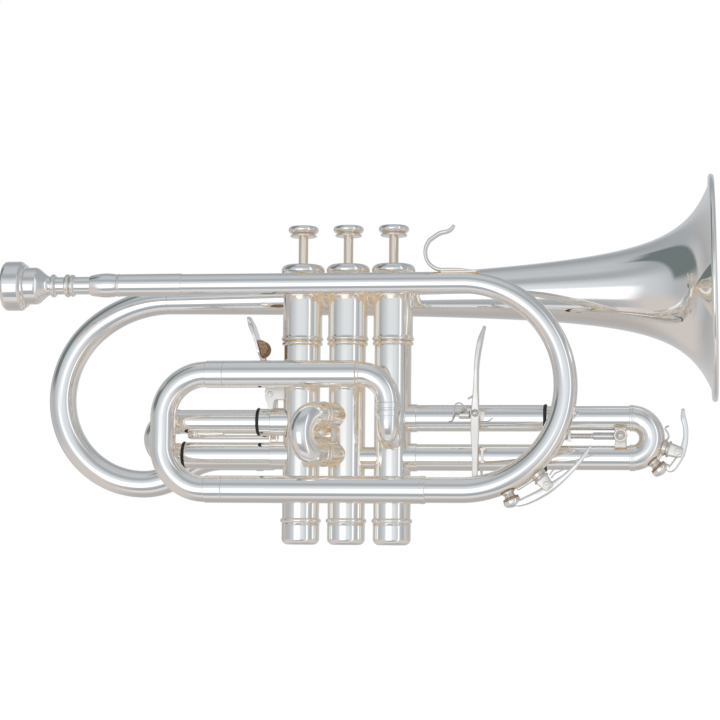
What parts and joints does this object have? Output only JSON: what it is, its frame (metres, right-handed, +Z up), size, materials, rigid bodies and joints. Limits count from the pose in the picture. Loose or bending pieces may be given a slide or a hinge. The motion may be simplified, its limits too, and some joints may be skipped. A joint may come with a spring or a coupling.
{
  "type": "cornet",
  "caption": "Silver-plated piston-valve cornet with a D-shaped tuning slide, triggered valve slides, water keys, a finger hook and a seated mouthpiece.",
  "frame": {"origin": "on the second valve's axis, at the lower face of its bottom cap", "axes": "+X runs along the bell axis towards the bell's rim, +Z runs up the valves to the finger buttons, +Y is the player's left, the side of the bell tube"},
  "size_m": [0.3726, 0.1194, 0.1954],
  "materials": {
    "silver": "silver plated, polished",
    "nickel": "nickel plated, lapped",
    "steel": "bright steel",
    "cork": "natural cork",
    "rubber": "black rubber",
    "felt": "white wool felt"
  },
  "bodies": {
    "cornet_body": {"bell": "silver", "bell_crook": "silver", "bell_tail": "silver", "tube_ferrules": "silver", "mouthpiece_receiver": "silver", "leadpipe": "silver", "lower_main_sleeve": "silver", "upper_main_sleeve": "silver", "third_valve_entry": "silver", "valve_casing_1": "silver", "valve_casing_2": "silver", "valve_casing_3": "silver", "valve_knuckles": "silver", "first_slide_sleeves": "silver", "second_slide_sleeves": "silver", "third_slide_sleeves": "silver", "sleeve_stop_rings": "rubber", "top_caps": "silver", "bottom_caps": "silver", "valve_guides": "nickel", "cap_felts": "felt", "braces": "silver", "finger_hook": "silver", "trigger_1_bracket": "silver", "trigger_3_saddle": "silver", "main_key_post": "silver", "pivot_screws": "steel", "lever_springs": "steel"},
    "valve_1": {"piston_1": "nickel", "valve_stem_1": "nickel", "finger_button_1": "silver", "valve_spring_1": "steel"},
    "valve_2": {"piston_2": "nickel", "valve_stem_2": "nickel", "finger_button_2": "silver", "valve_spring_2": "steel"},
    "valve_3": {"piston_3": "nickel", "valve_stem_3": "nickel", "finger_button_3": "silver", "valve_spring_3": "steel"},
    "main_slide": {"main_slide_crook": "silver", "main_slide_legs": "silver"},
    "second_slide": {"second_slide_crook": "silver"},
    "first_slide": {"first_slide_crook": "silver", "first_slide_legs": "silver", "first_slide_link": "silver"},
    "third_slide": {"third_slide_crook": "silver", "third_slide_legs": "silver", "third_slide_bridge": "silver", "third_slide_stop_rod": "silver", "third_slide_link": "silver", "third_key_post": "silver"},
    "third_key": {"third_key_lever": "silver", "third_key_cork": "cork"},
    "main_key": {"main_key_lever": "silver", "main_key_cork": "cork"},
    "trigger_1": {"trigger_1_lever": "silver", "trigger_1_cork": "cork"},
    "trigger_3": {"trigger_3_lever": "silver"},
    "mouthpiece": {"mouthpiece": "silver"}
  },
  "joints": [
    {"name": "valve_1_press", "type": "slide", "parent": "cornet_body", "child": "valve_1", "axis": [0, 0, -1], "range_m": [0, 0.015], "stiffness_N_per_m": 60, "springref_m": -0.02, "deforming": ["valve_spring_1"]},
    {"name": "valve_2_press", "type": "slide", "parent": "cornet_body", "child": "valve_2", "axis": [0, 0, -1], "range_m": [0, 0.015], "stiffness_N_per_m": 60, "springref_m": -0.02, "deforming": ["valve_spring_2"]},
    {"name": "valve_3_press", "type": "slide", "parent": "cornet_body", "child": "valve_3", "axis": [0, 0, -1], "range_m": [0, 0.015], "stiffness_N_per_m": 60, "springref_m": -0.02, "deforming": ["valve_spring_3"]},
    {"name": "main_slide_pull", "type": "slide", "parent": "cornet_body", "child": "main_slide", "axis": [-1, 0, 0], "range_m": [0, 0.025]},
    {"name": "second_slide_pull", "type": "slide", "parent": "cornet_body", "child": "second_slide", "axis": [-0.6293, -0.7771, 0], "range_m": [0, 0.005]},
    {"name": "trigger_1_swing", "type": "hinge", "parent": "cornet_body", "child": "trigger_1", "pos_m": [-0.0404, 0.0084, 0.0785], "axis": [0, 1, 0], "range_deg": [0, 16.5]},
    {"name": "first_slide_pull", "type": "slide", "parent": "cornet_body", "child": "first_slide", "axis": [-1, 0, 0], "range_m": [0, 0.0064]},
    {"name": "trigger_3_swing", "type": "hinge", "parent": "cornet_body", "child": "trigger_3", "pos_m": [0.0679, -0.0089, 0.0681], "axis": [0, -1, 0], "range_deg": [0, 19]},
    {"name": "third_slide_pull", "type": "slide", "parent": "cornet_body", "child": "third_slide", "axis": [1, 0, 0], "range_m": [0, 0.009]},
    {"name": "third_key_open", "type": "hinge", "parent": "third_slide", "child": "third_key", "pos_m": [0.17113, 0, 0.04867], "axis": [0, -1, 0], "range_deg": [0, 20]},
    {"name": "main_key_open", "type": "hinge", "parent": "cornet_body", "child": "main_key", "pos_m": [0.10549, -0.0175, 0.03085], "axis": [0, -1, 0], "range_deg": [0, 15]},
    {"name": "mouthpiece_pull", "type": "slide", "parent": "cornet_body", "child": "mouthpiece", "axis": [-1, 0, 0], "range_m": [0, 0.03]}
  ],
  "couplings": [
    {"joint": "first_slide_pull", "follows": "trigger_1_swing", "m_per_rad": 0.0219},
    {"joint": "third_slide_pull", "follows": "trigger_3_swing", "m_per_rad": 0.0271}
  ]
}
